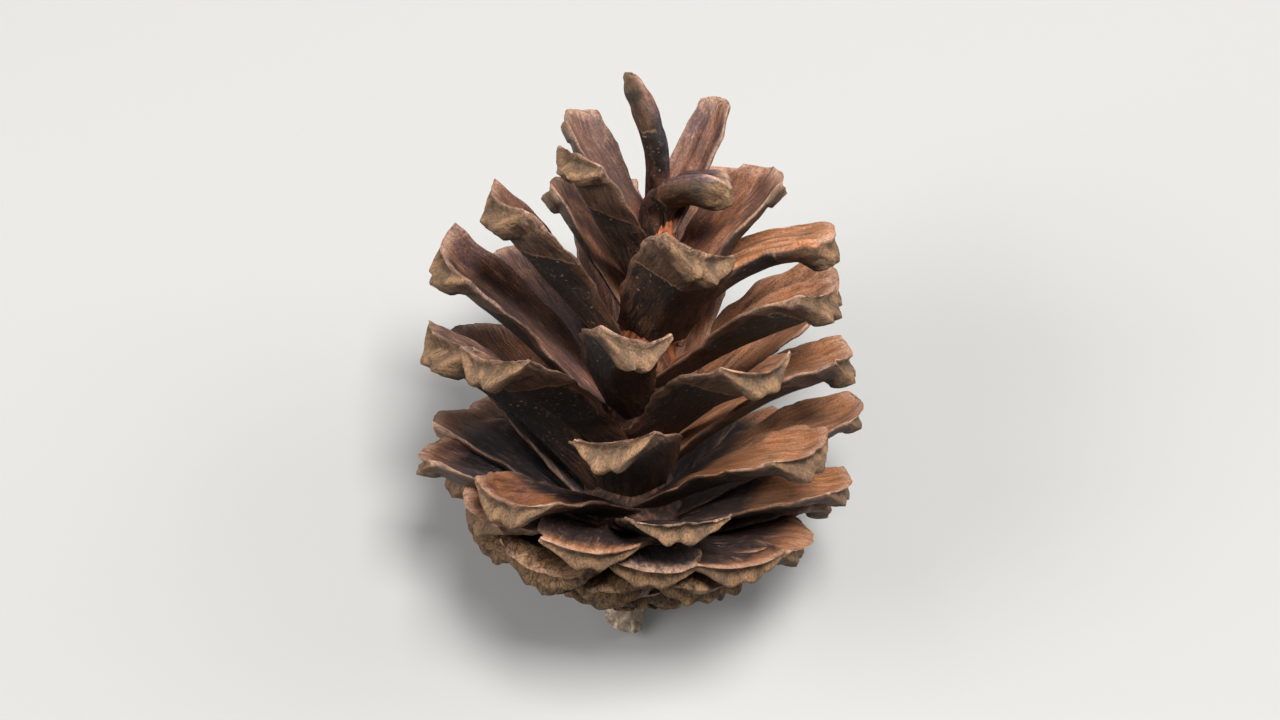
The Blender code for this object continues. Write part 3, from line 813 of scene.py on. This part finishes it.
    # Unevenness of dry wood: long low waves on the blade, short lumps on the shield, and creases
    # on the closed scales
    straight = np.stack([side * half, from_end, through * depth], 1)
    below = smooth(-from_end, -2.6, -1.6) * smooth(through, 0.4, 0.7)
    shield = np.maximum(smooth(-from_end, -0.3, 0.0), below)
    shield = np.maximum(shield, basal * smooth(through, 0.3, 0.6) * smooth(-from_end, -9.0, -6.0))
    waves = uneven(straight, BLADE_PERIODS, number + BLADE_SEED)
    lumps = uneven(straight, (0.9 + basal, 2.2, 1.4 + 0.6 * basal), number + SHIELD_SEED)
    folds = 0.5 - 2.2 * np.abs(uneven(placed, CREASE_PERIODS, CREASE_SEED, 2))
    lumps = lumps * (1.0 - 0.85 * basal) + folds * basal
    relief = waves * (1.0 - shield) + (1.2 + 2.2 * basal) * lumps * shield
    shift = sizes.relief / MM * relief * smooth(at, 0.05, 0.2)
    placed += vectors_of(mesh.vertex_normals, "vector") * shift[:, None]
    put_points(mesh, settle(placed, sizes.lean))

    # What the material reads: the straightened wood, the place on the scale, and its tint
    azimuth = scale.azimuth + scale.turn
    # Warmth by the side of the cone: partly the wood's tone, partly painted light on the lit side and
    # painted shade on the other
    warm = WARM_AND_LIT.get(number, 0.5 + 0.38 * math.sin(azimuth) + chance.uniform(-0.15, 0.15))
    # Dusk: how far up a scale the painted shade of the bowl reaches
    dusk = DUSK.get(number, float(np.interp(number, *zip(*USUAL_DUSK))))
    write_vector(mesh, "grain", straight + np.array((0.0, 0.0, number * GRAIN_STEP)))
    seen = np.minimum(through * (1.0 + 1.5 * scale.stout * side_size), 1.0)
    write_vector(mesh, "place", np.stack([side * (1.0 - 0.5 * scale.stout), from_end, seen], 1))
    radius = np.hypot(placed[:, 0], placed[:, 1])
    patch = PATCH.get(number, USUAL_PATCH)
    write_vector(mesh, "tint", np.tile((patch, warm, basal), (len(side), 1)))
    write_vector(mesh, "where", np.stack([radius, placed[:, 2], side * 0.0 + dusk], 1))
    return mesh


def add(tree, kind, inputs=None, stops=(), **settings):
    """Adds a shader node with its settings, values and links, and colour stops if it is a ramp."""
    made = tree.nodes.new("ShaderNode" + kind)
    for name, value in settings.items():
        setattr(made, name, value)
    for key, value in (inputs or {}).items():
        if isinstance(value, bpy.types.NodeSocket):
            tree.links.new(value, made.inputs[key])
        else:
            made.inputs[key].default_value = value
    for index, (place, value) in enumerate(stops):
        ramp = made.color_ramp.elements
        stop = ramp[index] if index < len(ramp) else ramp.new(place)
        stop.position, stop.color = place, value
    return made


def fresh(name):
    """A material with its shader and an otherwise empty tree."""
    material = bpy.data.materials.new(name)
    material.use_nodes = True
    return material, material.node_tree, material.node_tree.nodes["Principled BSDF"]


def raise_surface(tree, shader, height, distance, strength):
    """Lets a height in the tree raise the surface by up to a distance in metres."""
    bump = add(tree, "Bump", {"Height": height, "Distance": distance, "Strength": strength})
    tree.links.new(bump.outputs[0], shader.inputs["Normal"])


def grown_wood(colours):
    """Seasoned conifer scale wood: red brown and silky above, near black below, and a
    weathered, tan end shield."""
    material, tree, shader = fresh("seasoned_cone_wood")
    known = {name: getattr(colours, name) for name in ConeColours.__annotations__}
    for kept, parts in KEPT_PLACES:
        vector = add(tree, "Attribute", attribute_name=kept).outputs["Vector"]
        known.update(zip(parts, add(tree, "SeparateXYZ", {0: vector}).outputs))
    grain = add(tree, "Attribute", attribute_name="grain").outputs["Vector"]
    for name, stretch, detail, twist in WOOD_PATTERNS:
        stretched = add(tree, "VectorMath", {0: grain, 1: stretch}, operation="MULTIPLY").outputs[0]
        known[name] = add(tree, "TexNoise", {"Vector": stretched, "Scale": 1.0, "Detail": detail,
                                             "Roughness": 0.6, "Distortion": twist}).outputs["Fac"]
    for name, kind, *values in WOOD_STEPS:
        stops = values.pop() if kind == "RAMP" else ()
        values, stops = [known.get(v, v) for v in values], [(at, known.get(v, v)) for at, v in stops]
        values = [linear(v) if isinstance(v, str) else v for v in values]
        stops = [(at, linear(v) if isinstance(v, str) else v) for at, v in stops]
        node, settings, sockets, output = STEP_KINDS.get(kind, ("Math", {"operation": kind}, (0, 1), 0))
        known[name] = add(tree, node, dict(zip(sockets, values)), stops, **settings).outputs[output]
    tree.links.new(known["surface"], shader.inputs["Base Color"])
    tree.links.new(known["rough"], shader.inputs["Roughness"])
    raise_surface(tree, shader, known["raised"], 0.35 * MM, 0.8)
    shader.inputs["Specular IOR Level"].default_value = 0.35
    return material


def combed_noise(tree, repeats, twist, lean):
    """Places along the leaned cone, and noise that is drawn out along it."""
    place = add(tree, "TexCoord").outputs["Object"]
    turned = add(tree, "Mapping", {"Vector": place, "Rotation": (lean, 0.0, 0.0),
                                   "Scale": repeats}).outputs[0]
    combed = add(tree, "TexNoise", {"Vector": turned, "Scale": 1.0, "Detail": 5.0,
                                    "Distortion": twist}).outputs["Fac"]
    return turned, combed


def rachis_fibre(sizes, colours):
    """Torn wood fibre between the scale roots: reddish, matt, combed upwards, and painted dark low down
    as shade in the bowl.
    """
    material, tree, shader = fresh("rachis_fibre")
    turned, combed = combed_noise(tree, FIBRE_REPEATS, 0.5, sizes.lean)
    # Painted shade: darker browns low on the rachis, inside the bowl
    low = add(tree, "ValToRGB", {0: combed}, stops=(
        (0.36, linear("#2A1B14")), (0.7, linear("#7A4C33")), (0.52, linear("#482D20")))).outputs[0]
    high = add(tree, "ValToRGB", {0: combed}, stops=(
        (0.34, linear("#4A2616")), (0.7, linear("#B5683A")), (0.52, colours.fibre))).outputs[0]
    rise = add(tree, "SeparateXYZ", {0: turned}).outputs[2]
    repeat = FIBRE_REPEATS[2] * MM
    share = add(tree, "MapRange", {0: rise, 1: FIBRE_FROM * repeat, 2: FIBRE_FULL * repeat}).outputs[0]
    tone = add(tree, "Mix", {0: share, 6: low, 7: high}, data_type="RGBA").outputs[2]
    tree.links.new(tone, shader.inputs["Base Color"])
    raise_surface(tree, shader, combed, 0.4 * MM, 0.8)
    shader.inputs["Roughness"].default_value = 0.78
    return material


def stalk_bark(sizes, colours):
    """Thin grey brown bark of the stalk, wrinkled lengthwise as it dried, and painted lighter as
    painted light where it lies in the cone's shadow.
    """
    material, tree, shader = fresh("stalk_bark")
    wrinkled = combed_noise(tree, BARK_REPEATS, 0.6, sizes.lean)[1]
    tone = add(tree, "ValToRGB", {0: wrinkled}, stops=(
        (0.34, linear("#5C4C3F")), (0.7, linear("#CDB9A1")), (0.5, colours.stalk))).outputs[0]
    tree.links.new(tone, shader.inputs["Base Color"])
    raise_surface(tree, shader, wrinkled, 0.4 * MM, 0.7)
    shader.inputs["Roughness"].default_value = 0.72
    return material


def matt_card(colours):
    """Pale studio floor card, matt, with a faint tooth."""
    material, tree, shader = fresh("matt_card")
    place = add(tree, "TexCoord").outputs["Object"]
    tooth = add(tree, "TexNoise", {"Vector": place, "Scale": 900.0, "Detail": 2.0}).outputs["Fac"]
    raise_surface(tree, shader, tooth, 0.1 * MM, 0.1)
    shader.inputs["Base Color"].default_value = colours.floor
    shader.inputs["Roughness"].default_value = 0.9
    return material


def hand_over(piece):
    """Says what a piece rides on, and hides the CAD cone that it stands for."""
    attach(piece, "root")
    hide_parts("cone")


def grow_core(name, profile, cuts, material, sizes):
    """Lays a cylinder that is cut into rows onto a profile of heights and radii."""
    deselect()
    rows, sides = cuts
    bpy.ops.mesh.primitive_cylinder_add(vertices=sides, radius=1.0, depth=1.0,
                                        end_fill_type="TRIFAN")
    piece = bpy.context.object
    piece.name = piece.data.name = name
    bpy.ops.object.mode_set(mode="EDIT")
    bpy.ops.mesh.select_mode(type="EDGE")
    bpy.ops.mesh.select_all(action="DESELECT")
    shape = bmesh.from_edit_mesh(piece.data)
    for edge in shape.edges:
        edge.select = abs(edge.verts[0].co.z - edge.verts[1].co.z) > 0.99
    bmesh.update_edit_mesh(piece.data)
    bpy.ops.mesh.subdivide(number_cuts=rows)
    bpy.ops.object.mode_set(mode="OBJECT")
    grid = vectors_of(piece.data.vertices, "co")
    share = grid[:, 2] + 0.5
    heights, radii = zip(*profile)
    steps = np.linspace(0.0, 1.0, len(profile))
    height = np.interp(share, steps, heights)
    radius = np.interp(share, steps, radii) * np.hypot(grid[:, 0], grid[:, 1])
    angle = np.arctan2(grid[:, 1], grid[:, 0])
    around = np.stack([np.cos(angle) * 3.0, np.sin(angle) * 3.0, height], 1)
    rough = uneven(around, CORE_PERIODS, CORE_SEED)
    radius *= 1.0 + CORE_ROUGH * rough + CUT_FLARE * smooth(-height, 2.2, 2.8)
    aside = STALK_BEND * smooth(-height, -1.0, 2.7)
    height = height - CUT_SLANT * radius * np.cos(angle) * smooth(-height, 1.5, 2.9)
    placed = np.stack([radius * np.cos(angle) + aside, radius * np.sin(angle), height], 1)
    put_points(piece.data, settle(placed, sizes.lean))
    bpy.ops.object.shade_smooth_by_angle(angle=math.radians(SHARP_CORE))
    piece.data.materials.append(material)
    hand_over(piece)


class CONE_OT_grow_scales(bpy.types.Operator):
    """Grow every scale of the spiral, in tiers of neighbours"""
    bl_idname = "cone.grow_scales"
    bl_label = "Grow scales"

    def execute(self, context):
        sizes, colours = context.scene.cone_sizes, context.scene.cone_colours
        wood = grown_wood(colours)
        blocks = {cuts: cut_block("block", cuts) for cuts in (OPEN_CUTS, CLOSED_CUTS)}
        for tier, first, last in TIERS:
            deselect()
            for number in range(first, min(last + 1, sizes.scale_count)):
                cuts = OPEN_CUTS if number < FIRST_CLOSED else CLOSED_CUTS
                mesh = lay_scale(blocks[cuts], cuts, number, sizes)
                mesh.materials.append(wood)
                piece = bpy.data.objects.new("scale_%02d" % number, mesh)
                context.collection.objects.link(piece)
                piece.select_set(True)
                context.view_layer.objects.active = piece
            bpy.ops.object.join()
            piece = context.object
            piece.name = piece.data.name = tier
            bpy.ops.object.shade_smooth_by_angle(angle=math.radians(SHARP_SCALE))
            hand_over(piece)
        for block in blocks.values():
            bpy.data.objects.remove(block)
        return {"FINISHED"}


class CONE_OT_grow_rachis(bpy.types.Operator):
    """Grow the rachis that carries the scales"""
    bl_idname = "cone.grow_rachis"
    bl_label = "Grow rachis"

    def execute(self, context):
        sizes, colours = context.scene.cone_sizes, context.scene.cone_colours
        fibre = rachis_fibre(sizes, colours)
        grow_core("rachis", CORE[RACHIS_START:], RACHIS_CUTS, fibre, sizes)
        return {"FINISHED"}


class CONE_OT_grow_stalk(bpy.types.Operator):
    """Grow the short bent stalk and its cut end"""
    bl_idname = "cone.grow_stalk"
    bl_label = "Grow stalk"

    def execute(self, context):
        sizes, colours = context.scene.cone_sizes, context.scene.cone_colours
        bark = stalk_bark(sizes, colours)
        grow_core("stalk", CORE[:STALK_STOP], STALK_CUTS, bark, sizes)
        return {"FINISHED"}


class CONE_OT_set_stage(bpy.types.Operator):
    """Set the floor, the studio light and the camera"""
    bl_idname = "cone.set_stage"
    bl_label = "Set stage"

    def execute(self, context):
        deselect()
        bpy.ops.mesh.primitive_plane_add(size=FLOOR_SIDE)
        floor = context.object
        floor.name = "floor"
        floor.data.materials.append(matt_card(context.scene.cone_colours))
        sizes = context.scene.cone_sizes
        target = settle(np.array([[0.0, 0.0, TARGET_HEIGHT]]), sizes.lean)[0]
        rise = math.radians(VIEW_ELEVATION) + sizes.lean
        roll = math.radians(VIEW_ROLL)
        up = Vector((0.0, math.sin(rise), math.cos(rise)))
        toward = Vector((0.0, -math.cos(rise), math.sin(rise)))
        right = Vector((math.cos(roll), 0.0, 0.0)) + up * math.sin(roll)
        up = toward.cross(right)
        spot = Vector(target) + toward * VIEW_DISTANCE * MM
        spot += right * AXIS_ASIDE[0] * MM + up * AXIS_ASIDE[1] * MM
        turn = Matrix((right, up, toward)).transposed()
        bpy.ops.object.camera_add(location=spot, rotation=turn.to_euler())
        camera = context.object
        camera.name = "camera"
        camera.data.lens = LENS
        camera.data.clip_start = NEAREST_SEEN * MM
        context.scene.camera = camera
        for name, place, power, size in LIGHTS:
            spot = Vector(place)
            bpy.ops.object.light_add(type="AREA", location=spot,
                                     rotation=spot.to_track_quat("Z", "Y").to_euler())
            light = context.object
            light.name = name
            light.data.energy = power
            light.data.size = size
        world = bpy.data.worlds.new("studio")
        world.use_nodes = True
        background = world.node_tree.nodes["Background"]
        background.inputs["Color"].default_value = linear(STUDIO_TONE)
        background.inputs["Strength"].default_value = STUDIO_STRENGTH
        context.scene.world = world
        context.scene.view_settings.view_transform = "Standard"
        return {"FINISHED"}


class CONE_PT_panel(bpy.types.Panel):
    """Sizes, colours and steps of the cone"""
    bl_label = "Conifer Cone"
    bl_idname = "CONE_PT_panel"
    bl_space_type = "VIEW_3D"
    bl_region_type = "UI"
    bl_category = "Cone"

    def draw(self, context):
        for step in STEPS:
            self.layout.operator(step.bl_idname)
        for group in (context.scene.cone_sizes, context.scene.cone_colours):
            for name in group.__annotations__:
                self.layout.prop(group, name)


STEPS = (CONE_OT_set_stage, CONE_OT_grow_rachis, CONE_OT_grow_stalk, CONE_OT_grow_scales)
CLASSES = (ConeSizes, ConeColours) + STEPS + (CONE_PT_panel,)


def register():
    for kind in CLASSES:
        bpy.utils.register_class(kind)
    bpy.types.Scene.cone_sizes = PointerProperty(type=ConeSizes)
    bpy.types.Scene.cone_colours = PointerProperty(type=ConeColours)


def unregister():
    del bpy.types.Scene.cone_colours
    del bpy.types.Scene.cone_sizes
    for kind in reversed(CLASSES):
        bpy.utils.unregister_class(kind)


def main():
    register()
    bpy.ops.cone.set_stage()
    bpy.ops.cone.grow_rachis()
    bpy.ops.cone.grow_stalk()
    bpy.ops.cone.grow_scales()


if __name__ == "__main__":
    main()
